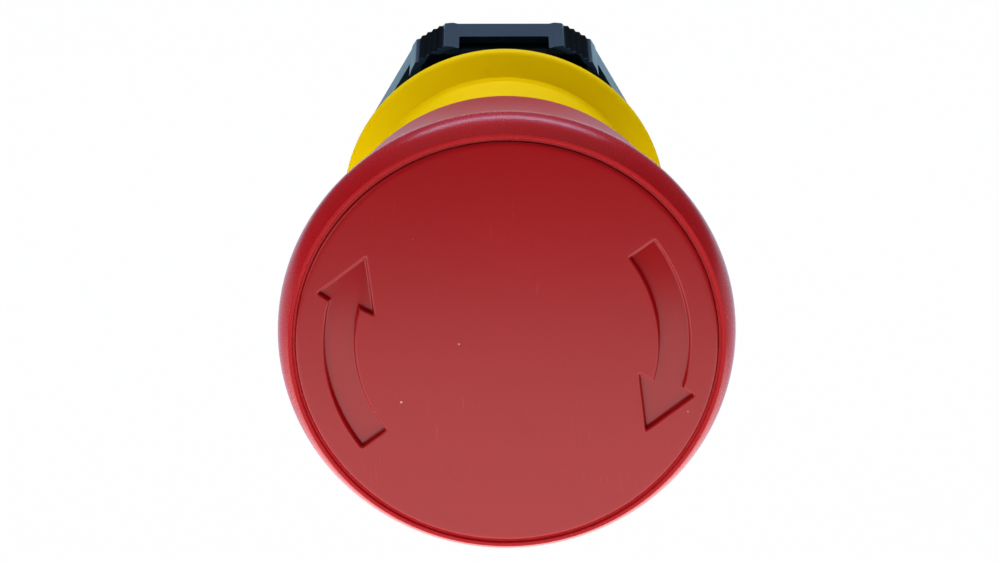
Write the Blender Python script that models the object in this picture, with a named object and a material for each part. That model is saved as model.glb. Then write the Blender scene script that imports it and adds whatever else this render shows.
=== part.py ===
"""Emergency stop push button: mushroom head on a panel-mounted operator.

Everything is modelled about one axis. Along that axis z = 0 is the panel's front
face, +z runs out to the face of the mushroom and -z runs back behind the panel.
An empty lays the axis down, so that the face looks along -Y and +Z is up.
Sizes are written in millimetres and turned into metres by MM.
"""

import math

import bmesh
import bpy

MM = 0.001
GAP = 0.3             # clearance kept between neighbouring pieces
PRESS = 6.0           # travel of the head

# Stem and bushing, from the axis outwards to the 22 mm thread
STEM_R = 4.0
STEM_WALL = 1.3       # wall round the stem's rear hole
CAM_WALL = 0.7        # trip cam's wall at its thin end
CAM_SLOPE = 0.15      # growth of the cam's cone, radius over length
CAM_ROOM = 1.095      # space round the cam's thick end
BUSH_WALL = 3.6
SEAL_STEP = 1.5       # how much wider the bore is at the seal

# Collar
BOSS_WALL = 1.9
BOSS_FOOT = 2.25      # height where the boss leaves the flange's cone
COLLAR_LIP = 2.2      # flange beyond the boss
COLLAR_EDGE = 1.1     # thickness of the flange's edge
GASKET_T = 1.1
GASKET_W = 1.6
GASKET_PROUD = 0.4
RING_R = 0.45         # section radius of the rubber ring
RING_BACK = 9.0       # from the boss's front end to the rubber ring

# Mushroom head
HEAD_R = 20.0         # largest radius of the rim
RIM_ROUND = 4.66      # radius of the rim's rounded section
RIM_BAND = 1.34       # width of the rim outside the disc's pocket
FACE_Z = 39.5         # face of the head over the panel
SKIRT_DEPTH = 20.5    # face to the skirt's open end
SKIRT_WALL = 1.65
SKIRT_CLEAR = 1.55    # between the skirt's inside and the boss
SKIRT_HOLLOW = 0.22   # how far the bell curves in from a straight cone
SKIRT_OVERLAP = 2.3   # how far the boss reaches into the skirt
DISC_T = 1.3
LEDGE_W = 2.46        # ledge that the disc seats on
CLIP_ROOM = 2.4       # depth of the pocket for the snap ring
WEB_T = 2.2
HUB_WALL = 1.9
RIB_T = 1.2

# Arrows sunk in the face disc: measured on the photograph, in degrees
ARROW_BAND = 2.65     # width of the shaft
ARROW_EDGE = 2.5      # from the shaft's outer edge to the disc's edge
ARROW_BARB_OUT = 1.12
ARROW_BARB_IN = 1.37
ARROW_TAIL_DEG = 37.0
ARROW_NECK_DEG = -14.8
ARROW_TIP_DEG = -33.2
ARROW_DEPTH = 0.6

# Inside the bushing
LIP_T = 1.3           # bushing's lip over the collar
SEAL_BORE_DEPTH = 7.6
SEAL_T = 2.3
RETAINER_T = 1.0
CARRIER_T = 1.6
FLANGE_T = 1.4
FLOOR_T = 3.0
PIN_R = 1.0
SPRING_WIRE = 0.6
RELEASE_WIRE = 0.45
PIN_WIRE = 0.14
PIN_SPRING = 2.2      # room for a pin's spring

# Snap ring, pusher
CLIP_T = 0.4
CLIP_W = 2.7
HUB_WASHER_T = 0.6
PUSHER_R = 8.0
PUSHER_T = 1.8
PUSHER_BOSS = 5.5     # how far its boss goes into the stem
BITE_R = 2.6

# Nut and washer behind the panel
PANEL_ROOM = 6.9      # from the panel's front face to the washer
WASHER_T = 0.9
WASHER_W = 1.4
TAB_W = 2.0
NUT_WALL = 0.9        # tube inside the windows
NUT_LUG = 1.05        # lugs and band over that tube
CORNER_RISE = 1.2     # toothed corners beyond the flats
NUT_H = 8.8
NUT_BAND_H = 4.65     # closed band behind the windows
NUT_LEG = 1.4         # flat left on each side of a window
NUT_CHAMFER = 0.45    # turned chamfer on the front corners
NUT_TEETH = 5
TOOTH = 0.34
STUB = 5.0            # bushing behind the nut

# Worked out from the values above
BORE_IN = STEM_R + GAP                      # every ring that runs on the stem
CAM_R = BORE_IN + CAM_WALL
CAM_RUN = 0.5 + 2.0 * PIN_R + PRESS + 0.2   # length of the cone
CAM_TOP_R = CAM_R + CAM_SLOPE * CAM_RUN
BORE_R = CAM_TOP_R + CAM_ROOM
THREAD_R = BORE_R + BUSH_WALL               # 11.0, half of the 22 mm thread
SEAL_BORE_R = BORE_R + SEAL_STEP
COLLAR_BORE = THREAD_R + GAP
BOSS_R = COLLAR_BORE + BOSS_WALL
COLLAR_R = BOSS_R + COLLAR_LIP
GASKET_IN = THREAD_R + 1.4

POCKET_R = HEAD_R - RIM_BAND
DISC_R = POCKET_R - GAP
LEDGE_R = POCKET_R - LEDGE_W
DISC_Z = FACE_Z - DISC_T
LEDGE_Z = DISC_Z - GAP
WEB_TOP = LEDGE_Z - CLIP_ROOM
WEB_BOTTOM = WEB_TOP - WEB_T
HUB_R = BORE_IN + HUB_WALL
SKIRT_R = BOSS_R + SKIRT_CLEAR + SKIRT_WALL
SKIRT_Z = FACE_Z - SKIRT_DEPTH
BOSS_TOP = SKIRT_Z + SKIRT_OVERLAP
BUSH_TOP = BOSS_TOP + GAP + LIP_T
SEAL_Z = BUSH_TOP - SEAL_BORE_DEPTH
RETAINER_Z = SEAL_Z + GAP + SEAL_T + GAP
HUB_END = RETAINER_Z + RETAINER_T + PRESS + GAP + CARRIER_T + GAP + 0.1
CAM_TOP = SEAL_Z - 0.6
CAM_Z = CAM_TOP - 1.2 - CAM_RUN
PIN_Z = CAM_Z + 0.5 + PIN_R
FLANGE_Z = CAM_Z - GAP - FLANGE_T
PIN_TIP = CAM_R + CAM_SLOPE * (PIN_Z + PIN_R - CAM_Z) + GAP + 0.025
PIN_FOOT = THREAD_R - PIN_SPRING            # inner end of a pin's spring
PIN_LENGTH = PIN_FOOT - GAP - PIN_TIP

NUT_FRONT = -(PANEL_ROOM + WASHER_T + GAP)
NUT_REAR = NUT_FRONT - NUT_H
NUT_BAND = NUT_REAR + NUT_BAND_H
NUT_TUBE = COLLAR_BORE + NUT_WALL
NUT_FLAT = NUT_TUBE + NUT_LUG               # half of the size across flats
NUT_CORNER = NUT_FLAT + CORNER_RISE
HALF_FLAT = math.sqrt(NUT_CORNER ** 2 - NUT_FLAT ** 2)
NUT_WINDOW = HALF_FLAT - NUT_LEG            # half of a window's width
BUSH_END = NUT_REAR - STUB
BUSH_FLOOR = BUSH_END + FLOOR_T
STEM_TOP = WEB_TOP + CLIP_ROOM - 0.1
STEM_END = BUSH_END - GAP


def start():
    """Empties the file of objects, so that the script can be run again."""
    for thing in list(bpy.data.objects):
        bpy.data.objects.remove(thing, do_unlink=True)


def srgb(value):
    """One channel of a colour seen on screen, 0 to 255, as linear light."""
    c = value / 255.0
    return c / 12.92 if c <= 0.04045 else ((c + 0.055) / 1.055) ** 2.4


def material(name, rgb, roughness, metallic=0.0):
    """A Principled surface in a colour read off the photograph."""
    made = bpy.data.materials.new(name)
    made.use_nodes = True
    shader = made.node_tree.nodes["Principled BSDF"]
    colour = [srgb(v) for v in rgb] + [1.0]
    shader.inputs["Base Color"].default_value = colour
    shader.inputs["Roughness"].default_value = roughness
    shader.inputs["Metallic"].default_value = metallic
    made.diffuse_color = colour
    return made


def empty(name, parent=None, turn=(0.0, 0.0, 0.0)):
    """A bare axis that pieces hang from."""
    axis = bpy.data.objects.new(name, None)
    axis.empty_display_size = 0.01
    axis.rotation_euler = turn
    axis.parent = parent
    bpy.context.scene.collection.objects.link(axis)
    return axis


def finish(name, bm, surface, parent, smooth=35.0):
    """Turns a bmesh into a named object under its axis."""
    bmesh.ops.remove_doubles(bm, verts=bm.verts, dist=0.00001)
    bmesh.ops.recalc_face_normals(bm, faces=bm.faces)
    mesh = bpy.data.meshes.new(name)
    bm.to_mesh(mesh)
    bm.free()
    if smooth:
        mesh.shade_smooth()
        mesh.set_sharp_from_angle(angle=math.radians(smooth))
    if surface:
        mesh.materials.append(surface)
    piece = bpy.data.objects.new(name, mesh)
    piece.parent = parent
    bpy.context.scene.collection.objects.link(piece)
    return piece


def arc(cr, cz, radius, start_deg, end_deg, steps):
    """Points of a round in a profile, as (radius, height)."""
    points = []
    for i in range(steps + 1):
        a = math.radians(start_deg + (end_deg - start_deg) * i / steps)
        points.append((cr + radius * math.cos(a), cz + radius * math.sin(a)))
    return points


def lathe(name, profile, surface, parent, steps=48, closed=True):
    """Spins a profile of (radius, height) about the axis.

    A closed profile makes a ring. An open one begins and ends on the axis.
    """
    bm = bmesh.new()
    verts = [bm.verts.new((r * MM, 0.0, z * MM)) for r, z in profile]
    edges = [bm.edges.new(pair) for pair in zip(verts, verts[1:])]
    if closed:
        edges.append(bm.edges.new((verts[-1], verts[0])))
    bmesh.ops.spin(
        bm, geom=verts + edges, axis=(0, 0, 1), cent=(0, 0, 0),
        angle=math.tau, steps=steps, use_merge=True,
    )
    return finish(name, bm, surface, parent)


def rod(name, radius, z_low, z_high, surface, parent, steps=20):
    """A plain cylinder on the axis."""
    profile = [(0.0, z_low), (radius, z_low), (radius, z_high), (0.0, z_high)]
    return lathe(name, profile, surface, parent, steps, closed=False)


def ring(name, r_in, r_out, z_low, z_high, surface, parent, steps=48, edge=0.0):
    """A flat ring, with its four corners broken by edge."""
    if edge:
        profile = [
            (r_in + edge, z_low), (r_out - edge, z_low), (r_out, z_low + edge),
            (r_out, z_high - edge), (r_out - edge, z_high), (r_in + edge, z_high),
            (r_in, z_high - edge), (r_in, z_low + edge),
        ]
    else:
        profile = [(r_in, z_low), (r_out, z_low), (r_out, z_high), (r_in, z_high)]
    return lathe(name, profile, surface, parent, steps)


def prism(name, outline, z_low, z_high, surface, parent, smooth=0.0):
    """Draws an outline flat and extrudes it along the axis."""
    bm = bmesh.new()
    verts = [bm.verts.new((x * MM, y * MM, z_low * MM)) for x, y in outline]
    face = bm.faces.new(verts)
    grown = bmesh.ops.extrude_face_region(bm, geom=[face])
    top = [g for g in grown["geom"] if isinstance(g, bmesh.types.BMVert)]
    bmesh.ops.translate(bm, verts=top, vec=(0, 0, (z_high - z_low) * MM))
    return finish(name, bm, surface, parent, smooth)


def block(name, x0, x1, y0, y1, z0, z1, surface, parent, turn=0.0):
    """A box, turned about the axis by turn degrees."""
    outline = [(x0, y0), (x1, y0), (x1, y1), (x0, y1)]
    piece = prism(name, outline, z0, z1, surface, parent)
    piece.rotation_euler = (0.0, 0.0, math.radians(turn))
    return piece


def combine(target, tool, operation):
    """Joins, cuts or trims target with a tool shape that isn't a piece."""
    tool.hide_render = True
    tool.display_type = "WIRE"
    step = target.modifiers.new(tool.name, "BOOLEAN")
    step.operation = operation
    step.object = tool
    step.solver = "EXACT"


def coil(name, radius, wire, turns, z_low, z_high, surface, parent,
         closed_ends=1.0, per_turn=20, sides=6):
    """A round-wire spring, each ring of its wire placed by the helix formula."""
    bm = bmesh.new()
    rings = []
    steps = int(turns * per_turn)
    run = (z_high - wire) - (z_low + wire)
    end_pitch = 2.0 * wire * 1.12
    middle = turns - 2.0 * closed_ends
    pitch = (run - 2.0 * closed_ends * end_pitch) / middle
    for i in range(steps + 1):
        t = turns * i / steps
        low = min(t, closed_ends)
        high = max(0.0, t - (turns - closed_ends))
        rise = (low + high) * end_pitch + (t - low - high) * pitch
        angle = math.tau * t
        row = []
        for k in range(sides):
            a = math.tau * k / sides
            r = radius + wire * math.cos(a)
            z = z_low + wire + rise + wire * math.sin(a)
            row.append(bm.verts.new(
                (r * math.cos(angle) * MM, r * math.sin(angle) * MM, z * MM)))
        rings.append(row)
    for one, two in zip(rings, rings[1:]):
        for k in range(sides):
            n = (k + 1) % sides
            bm.faces.new((one[k], one[n], two[n], two[k]))
    bm.faces.new(rings[0])
    bm.faces.new(rings[-1])
    return finish(name, bm, surface, parent, 60.0)


def polar(radius, degrees):
    """A point on a flat outline."""
    a = math.radians(degrees)
    return (radius * math.cos(a), radius * math.sin(a))


def arrow_outline(turn):
    """The curved arrow that runs clockwise round the face."""
    outer = DISC_R - ARROW_EDGE
    inner = outer - ARROW_BAND
    points = []
    steps = 10
    for i in range(steps + 1):
        a = ARROW_TAIL_DEG + (ARROW_NECK_DEG - ARROW_TAIL_DEG) * i / steps
        points.append(polar(outer, turn + a))
    points.append(polar(outer + ARROW_BARB_OUT, turn + ARROW_NECK_DEG - 1.4))
    points.append(polar((outer + inner) / 2.0, turn + ARROW_TIP_DEG))
    points.append(polar(inner - ARROW_BARB_IN, turn + ARROW_NECK_DEG + 1.4))
    for i in range(steps + 1):
        a = ARROW_NECK_DEG + (ARROW_TAIL_DEG - ARROW_NECK_DEG) * i / steps
        points.append(polar(inner, turn + a))
    return points


def nut_outline():
    """A hexagon, flat on top, whose corners are cut to toothed arcs."""
    corner = math.degrees(math.atan2(HALF_FLAT, NUT_FLAT))
    points = []
    for side in range(6):
        normal = 90.0 + 60.0 * side
        n = polar(1.0, normal)
        t = polar(1.0, normal + 90.0)
        edge = NUT_WINDOW + 0.15
        rise = [(0.0, -HALF_FLAT), (0.0, -edge - 0.4), (-0.1, -edge),
                (-0.1, edge), (0.0, edge + 0.4), (0.0, HALF_FLAT)]
        for lift, along in rise:
            r = NUT_FLAT + lift
            points.append((n[0] * r + t[0] * along, n[1] * r + t[1] * along))
        span = 60.0 - 2.0 * corner
        for tooth in range(1, 2 * NUT_TEETH):
            r = NUT_CORNER - (TOOTH if tooth % 2 else 0.0)
            points.append(polar(r, normal + corner + span * tooth / (2 * NUT_TEETH)))
    return points


def mushroom_shell(surface, parent):
    """The red head: rounded rim, bell skirt, web, hub and inner ribs."""
    ring_r = HEAD_R - RIM_ROUND
    brow = math.degrees(math.acos((POCKET_R + 0.25 - ring_r) / RIM_ROUND))
    rim_z = FACE_Z - RIM_ROUND * math.sin(math.radians(brow))
    drop = math.degrees(math.atan2(HEAD_R - SKIRT_R, rim_z - SKIRT_Z))
    rim = arc(ring_r, rim_z, RIM_ROUND, brow, -drop, 9)
    top_r, top_z = rim[-1]

    def bell(z):
        # outer radius of the skirt at a height below the rim
        s = (top_z - z) / (top_z - SKIRT_Z)
        return top_r + (SKIRT_R - top_r) * s - SKIRT_HOLLOW * math.sin(math.pi * s)

    heights = [top_z + (SKIRT_Z + 0.4 - top_z) * i / 5.0 for i in range(1, 6)]
    inside = [z for z in heights if z < WEB_BOTTOM - 2.0]
    profile = [(POCKET_R, LEDGE_Z), (POCKET_R, FACE_Z - 0.15), (POCKET_R + 0.12, FACE_Z)]
    profile += rim + [(bell(z), z) for z in heights]
    profile += [(SKIRT_R - 0.3, SKIRT_Z), (SKIRT_R - SKIRT_WALL + 0.3, SKIRT_Z)]
    profile += [(bell(z) - SKIRT_WALL, z) for z in reversed(inside)]
    profile += [
        (bell(WEB_BOTTOM - 1.2) - SKIRT_WALL, WEB_BOTTOM - 1.2),
        (bell(WEB_BOTTOM) - SKIRT_WALL - 1.2, WEB_BOTTOM),
        (HUB_R + 0.6, WEB_BOTTOM), (HUB_R, WEB_BOTTOM - 0.6),
        (HUB_R, HUB_END), (BORE_IN, HUB_END), (BORE_IN, WEB_TOP),
        (LEDGE_R - 0.4, WEB_TOP), (LEDGE_R, WEB_TOP + 0.4), (LEDGE_R, LEDGE_Z),
    ]
    shell = lathe("mushroom_shell", profile, surface, parent, 56)
    low = BUSH_TOP + PRESS + 0.9
    for i in range(6):
        # stiffening ribs between the web and the skirt, clear of the bushing's lip
        rib = block(f"shell_rib_{i + 1}", SEAL_BORE_R - 0.5, bell(low) - SKIRT_WALL / 2.0,
                    -RIB_T / 2.0, RIB_T / 2.0, low, WEB_BOTTOM + 0.4, surface, parent,
                    60.0 * i)
        combine(shell, rib, "UNION")
    return shell


def face_disc(surface, parent):
    """The flat disc let into the head, with two arrows sunk in its face."""
    profile = [(0.0, DISC_Z), (DISC_R, DISC_Z), (DISC_R, FACE_Z - 0.3)]
    profile += [(DISC_R - 0.09, FACE_Z - 0.09), (DISC_R - 0.3, FACE_Z), (0.0, FACE_Z)]
    disc = lathe("face_disc", profile, surface, parent, 56, closed=False)
    for side, turn in (("right", 0.0), ("left", 180.0)):
        cutter = prism(f"arrow_cutter_{side}", arrow_outline(turn),
                       FACE_Z - ARROW_DEPTH, FACE_Z + 1.0, surface, parent)
        combine(disc, cutter, "DIFFERENCE")
    return disc


def gasket_place():
    """Inner and outer radius and depth of the gasket's recess in the collar."""
    return GASKET_IN - GAP, GASKET_IN + GASKET_W + GAP, GASKET_T - GASKET_PROUD + GAP


def rubber_ring_z():
    """Middle of the rubber ring between collar and bushing."""
    return BOSS_TOP - RING_BACK


def collar(surface, parent):
    """The yellow collar: a flange on the panel and a long boss under the head."""
    r_in, r_out, deep = gasket_place()
    mid = rubber_ring_z()
    reach = RING_R + 0.35
    groove_r = COLLAR_BORE + 2.0 * RING_R + GAP
    profile = [
        (COLLAR_BORE, 0.0), (r_in, 0.0), (r_in, deep), (r_out, deep), (r_out, 0.0),
        (COLLAR_R - 0.2, 0.0), (COLLAR_R, 0.2), (COLLAR_R, COLLAR_EDGE - 0.35),
        (COLLAR_R - 0.1, COLLAR_EDGE - 0.1), (COLLAR_R - 0.4, COLLAR_EDGE + 0.15),
        (BOSS_R + 0.25, BOSS_FOOT - 0.15), (BOSS_R, BOSS_FOOT + 0.1),
        (BOSS_R, BOSS_TOP - 0.5), (BOSS_R - 0.5, BOSS_TOP), (COLLAR_BORE, BOSS_TOP),
        (COLLAR_BORE, mid + reach), (groove_r, mid + reach),
        (groove_r, mid - reach), (COLLAR_BORE, mid - reach),
    ]
    return lathe("collar", profile, surface, parent, 56)


def bushing(surface, parent):
    """The black bushing that the nut screws on, with the spring's chamber in it."""
    lip_r = BOSS_R - 0.4
    lip_z = BOSS_TOP + GAP
    profile = [
        (BORE_R, BUSH_FLOOR), (BORE_R, SEAL_Z), (SEAL_BORE_R, SEAL_Z),
        (SEAL_BORE_R, BUSH_TOP - 0.4), (SEAL_BORE_R + 0.4, BUSH_TOP),
        (lip_r - 0.4, BUSH_TOP), (lip_r, BUSH_TOP - 0.4), (lip_r, lip_z),
        (THREAD_R, lip_z), (THREAD_R, BUSH_END + 0.8), (THREAD_R - 0.8, BUSH_END),
        (BORE_IN, BUSH_END), (BORE_IN, BUSH_FLOOR),
    ]
    body = lathe("bushing", profile, surface, parent, 48)
    half = TAB_W / 2.0 + 0.4
    keyway = block("keyway_cutter", -half, half, -THREAD_R - 3.0, -THREAD_R + 1.2,
                   BUSH_END - 1.0, -1.6, surface, parent)
    combine(body, keyway, "DIFFERENCE")
    for side, turn, across in (("right", 0.0, 1.0), ("left", 180.0, -1.0)):
        hook = block(f"hook_notch_cutter_{side}", THREAD_R - 2.0, THREAD_R + 3.0, -2.2, 2.2,
                     BUSH_END - 1.0, BUSH_END + 2.6, surface, parent, turn)
        combine(body, hook, "DIFFERENCE")
        hole = rod(f"pin_hole_cutter_{side}", PIN_R + GAP, BORE_R - 1.4, THREAD_R + 3.0,
                   surface, parent, 16)
        hole.location = (0.0, 0.0, PIN_Z * MM)
        hole.rotation_euler = (0.0, across * math.pi / 2.0, 0.0)
        combine(body, hole, "DIFFERENCE")
    lug = block("panel_lug", -1.4, 1.4, THREAD_R - 1.0, THREAD_R + 1.0, -1.2, -GAP,
                surface, parent)
    combine(body, lug, "UNION")
    return body


def plunger(surface, parent):
    """The stem: snap ring groove at the head, spring flange, and a blind rear hole."""
    flange_r = BORE_R - GAP
    hole_r = STEM_R - STEM_WALL
    flange_top = FLANGE_Z + FLANGE_T
    groove_low = WEB_TOP + GAP + HUB_WASHER_T
    groove_high = groove_low + CLIP_T + 2.0 * GAP - 0.1
    profile = [
        (0.0, STEM_TOP), (STEM_R - 0.3, STEM_TOP), (STEM_R, STEM_TOP - 0.3),
        (STEM_R, groove_high), (STEM_R - 0.8, groove_high), (STEM_R - 0.8, groove_low),
        (STEM_R, groove_low), (STEM_R, flange_top), (flange_r - 0.3, flange_top),
        (flange_r, flange_top - 0.3), (flange_r, FLANGE_Z + 0.3),
        (flange_r - 0.3, FLANGE_Z), (STEM_R, FLANGE_Z),
        (STEM_R, STEM_END + 0.3), (STEM_R - 0.3, STEM_END),
        (hole_r, STEM_END), (hole_r, STEM_END + PUSHER_BOSS), (0.0, STEM_END + PUSHER_BOSS),
    ]
    return lathe("plunger", profile, surface, parent, 32, closed=False)


def trip_cam(surface, parent):
    """The sleeve whose cone spreads the latch pins as the head goes in."""
    end = CAM_Z + CAM_RUN
    profile = [
        (BORE_IN, CAM_Z), (CAM_R, CAM_Z), (CAM_TOP_R, end), (CAM_TOP_R, end + 0.8),
        (CAM_TOP_R - 0.5, CAM_TOP), (BORE_IN, CAM_TOP),
    ]
    return lathe("trip_cam", profile, surface, parent, 36)


def contact_pusher(surface, parent):
    """The plate behind the bushing that works the contact blocks."""
    top = STEM_END - GAP
    boss_r = STEM_R - STEM_WALL - GAP
    boss_z = top + PUSHER_BOSS
    low = top - PUSHER_T
    profile = [
        (0.0, boss_z), (boss_r - 0.5, boss_z), (boss_r, boss_z - 0.5),
        (boss_r, top), (PUSHER_R, top), (PUSHER_R, low + 0.3), (PUSHER_R - 0.3, low),
        (0.0, low),
    ]
    plate = lathe("contact_pusher", profile, surface, parent, 32, closed=False)
    for i in range(4):
        # four bites leave the arms that reach the blocks
        bite = rod(f"pusher_bite_{i + 1}", BITE_R, low - 1.0, top + 1.0, surface, parent)
        x, y = polar(PUSHER_R + 0.4, 45.0 + 90.0 * i)
        bite.location = (x * MM, y * MM, 0.0)
        combine(plate, bite, "DIFFERENCE")
    return plate


def head_clip(surface, parent):
    """The open snap ring in the stem's groove."""
    inner = STEM_R - 0.8 + GAP
    low = WEB_TOP + 2.0 * GAP + HUB_WASHER_T
    outline = []
    steps = 24
    for i in range(steps + 1):
        outline.append(polar(inner + CLIP_W, -60.0 + 300.0 * i / steps))
    for i in range(steps + 1):
        outline.append(polar(inner, 240.0 - 300.0 * i / steps))
    return prism("head_clip", outline, low, low + CLIP_T, surface, parent)


def hex_nut(surface, parent):
    """The castellated nut: closed band behind, six toothed lugs in front."""
    nut = prism("hex_nut", nut_outline(), NUT_REAR, NUT_FRONT, surface, parent)
    full = NUT_CORNER + 0.5
    front = NUT_CHAMFER + 0.5
    rear = NUT_CHAMFER / 2.0 + 0.5
    turned = lathe("nut_turning",
                   [(0.0, NUT_REAR - 1.0), (full - rear - 1.0, NUT_REAR - 1.0),
                    (full, NUT_REAR + rear), (full, NUT_FRONT - front),
                    (full - front - 1.0, NUT_FRONT + 1.0), (0.0, NUT_FRONT + 1.0)],
                   surface, parent, 72, closed=False)
    combine(nut, turned, "INTERSECT")
    for side in range(6):
        window = block(f"nut_window_{side + 1}", -NUT_WINDOW, NUT_WINDOW,
                       NUT_TUBE, NUT_FLAT + 3.0, NUT_BAND, NUT_FRONT + 1.0,
                       surface, parent, 60.0 * side)
        combine(nut, window, "DIFFERENCE")
    hole = rod("nut_bore", THREAD_R + GAP, NUT_REAR - 1.0, NUT_FRONT + 1.0,
               surface, parent, 48)
    combine(nut, hole, "DIFFERENCE")
    return nut


def lock_washer(surface, parent):
    """The washer behind the panel: its inner tab rides in the bushing's keyway."""
    low = NUT_FRONT + GAP
    outer = THREAD_R + GAP + WASHER_W
    washer = ring("lock_washer", THREAD_R + GAP, outer, low, low + WASHER_T,
                  surface, parent, 48)
    tab = block("washer_tab", -TAB_W / 2.0, TAB_W / 2.0, -outer + 0.8, -THREAD_R + 0.8,
                low, low + WASHER_T, surface, parent)
    combine(washer, tab, "UNION")
    return washer


def lip_seal(surface, parent):
    """The rubber seal round the stem, with a hollow between its lips."""
    low = SEAL_Z + GAP
    top = low + SEAL_T
    floor = low + SEAL_T / 2.0
    outer = SEAL_BORE_R - GAP
    profile = [
        (BORE_IN + 0.4, low), (outer - 0.3, low), (outer, low + 0.3), (outer, top),
        (outer - 0.9, top), (outer - 1.5, floor), (BORE_IN + 1.5, floor),
        (BORE_IN + 0.8, top), (BORE_IN, top), (BORE_IN, top - 0.6), (BORE_IN + 0.4, floor),
    ]
    return lathe("stem_seal", profile, surface, parent, 36)


def latch_pin(name, across, surface, parent):
    """One hardened pin, domed where it meets the cam."""
    profile = [(0.0, 0.0), (PIN_R * 0.55, 0.0), (PIN_R * 0.9, 0.2), (PIN_R, 0.55),
               (PIN_R, PIN_LENGTH - 0.2), (PIN_R - 0.2, PIN_LENGTH), (0.0, PIN_LENGTH)]
    pin = lathe(name, profile, surface, parent, 20, closed=False)
    pin.location = (across * PIN_TIP * MM, 0.0, PIN_Z * MM)
    pin.rotation_euler = (0.0, across * math.pi / 2.0, 0.0)
    return pin


def pin_spring(name, across, surface, parent):
    """The small spring that holds a latch pin against the cam."""
    spring = coil(name, PIN_R - PIN_WIRE - 0.08, PIN_WIRE, 4.5, 0.0, PIN_SPRING,
                  surface, parent, closed_ends=0.75, per_turn=12, sides=5)
    spring.location = (across * PIN_FOOT * MM, 0.0, PIN_Z * MM)
    spring.rotation_euler = (0.0, across * math.pi / 2.0, 0.0)
    return spring


def main():
    start()
    red = material("red_shell", (158, 38, 40), 0.42)
    red_face = material("red_face", (160, 44, 46), 0.5)
    yellow = material("yellow_collar", (222, 180, 4), 0.38)
    black = material("black_plastic", (24, 26, 30), 0.5)
    slate = material("nut_plastic", (40, 52, 64), 0.55)
    steel = material("spring_steel", (170, 172, 175), 0.3, 1.0)
    zinc = material("zinc_plate", (186, 188, 190), 0.35, 1.0)
    rubber = material("seal_rubber", (30, 30, 31), 0.8)
    acetal = material("white_acetal", (226, 224, 214), 0.45)

    axis = empty("operator_axis", turn=(math.pi / 2.0, 0.0, 0.0))
    press = empty("press_axis", axis)
    twist = empty("twist_axis", press)
    screw = empty("nut_axis", axis)

    bushing(black, axis)
    collar(yellow, axis)
    lathe("collar_o_ring",
          arc(COLLAR_BORE + RING_R + 0.15, rubber_ring_z(), RING_R, 0.0, 320.0, 8),
          rubber, axis, 40)
    ring("panel_gasket", GASKET_IN, GASKET_IN + GASKET_W, -GASKET_PROUD,
         GASKET_T - GASKET_PROUD, rubber, axis, 48, 0.2)
    lip_seal(rubber, axis)
    ring("seal_retainer", BORE_IN, SEAL_BORE_R - GAP, RETAINER_Z,
         RETAINER_Z + RETAINER_T, zinc, axis, 36)
    coil("return_spring", (STEM_R + BORE_R) / 2.0, SPRING_WIRE, 8.0, BUSH_FLOOR + GAP,
         FLANGE_Z - GAP, steel, axis)

    latch_pin("latch_pin_right", 1.0, steel, axis)
    latch_pin("latch_pin_left", -1.0, steel, axis)
    pin_spring("pin_spring_right", 1.0, steel, axis)
    pin_spring("pin_spring_left", -1.0, steel, axis)

    plunger(black, press)
    trip_cam(acetal, press)
    contact_pusher(acetal, press)
    ring("spring_carrier", BORE_IN, SEAL_BORE_R - GAP - 0.4, HUB_END - GAP - CARRIER_T,
         HUB_END - GAP, acetal, press, 36, 0.2)
    coil("release_spring", HUB_R + RELEASE_WIRE + 0.5, RELEASE_WIRE, 4.5, HUB_END,
         WEB_BOTTOM - GAP, steel, press, closed_ends=0.5, per_turn=18)
    head_clip(zinc, press)

    mushroom_shell(red, twist)
    face_disc(red_face, twist)
    ring("hub_washer", BORE_IN, HUB_R + 1.4, WEB_TOP + GAP, WEB_TOP + GAP + HUB_WASHER_T,
         zinc, twist, 32)

    lock_washer(black, screw)
    hex_nut(slate, screw)


main()
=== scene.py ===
"""Emergency stop push button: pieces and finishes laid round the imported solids.

Profiles are drawn in millimetres as (radius, height) or (radius, height, rounding), the
height running along the button's axis towards the face. In the frame that is x right,
-y forward, z up.
"""
import functools
import math

import bmesh
import bpy
from bpy.props import FloatProperty, FloatVectorProperty, IntProperty, PointerProperty
from mathutils import Matrix, Vector


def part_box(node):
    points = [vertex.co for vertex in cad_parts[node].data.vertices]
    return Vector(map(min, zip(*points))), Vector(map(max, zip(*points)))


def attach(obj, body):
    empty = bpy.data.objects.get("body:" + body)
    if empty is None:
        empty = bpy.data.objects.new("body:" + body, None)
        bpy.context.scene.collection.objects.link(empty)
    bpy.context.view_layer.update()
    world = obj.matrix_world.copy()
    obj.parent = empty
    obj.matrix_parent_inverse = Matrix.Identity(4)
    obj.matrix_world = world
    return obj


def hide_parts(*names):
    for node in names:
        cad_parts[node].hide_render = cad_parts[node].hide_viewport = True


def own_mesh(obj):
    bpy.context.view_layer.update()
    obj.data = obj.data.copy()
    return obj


bl_info = {
    "name": "Emergency stop push button",
    "version": (1, 0, 0),
    "blender": (4, 5, 0),
    "location": "3D View > Sidebar > Stop button",
    "description": "Builds the pieces, finishes and stage of an emergency stop push button",
    "category": "Add Mesh",
}

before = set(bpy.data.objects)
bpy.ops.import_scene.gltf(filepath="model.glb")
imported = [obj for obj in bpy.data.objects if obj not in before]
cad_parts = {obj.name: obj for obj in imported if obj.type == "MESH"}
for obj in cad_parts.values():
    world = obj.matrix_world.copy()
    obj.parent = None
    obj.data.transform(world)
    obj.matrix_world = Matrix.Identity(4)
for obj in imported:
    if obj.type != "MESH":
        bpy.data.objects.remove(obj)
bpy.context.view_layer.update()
MM = 0.001
MERGE = 1e-7
POLE = 1e-6
QUARTER = math.pi / 2.0
WHITE = (1.0, 1.0, 1.0)
SIDES = ((1.0, "right"), (-1.0, "left"))


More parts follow.
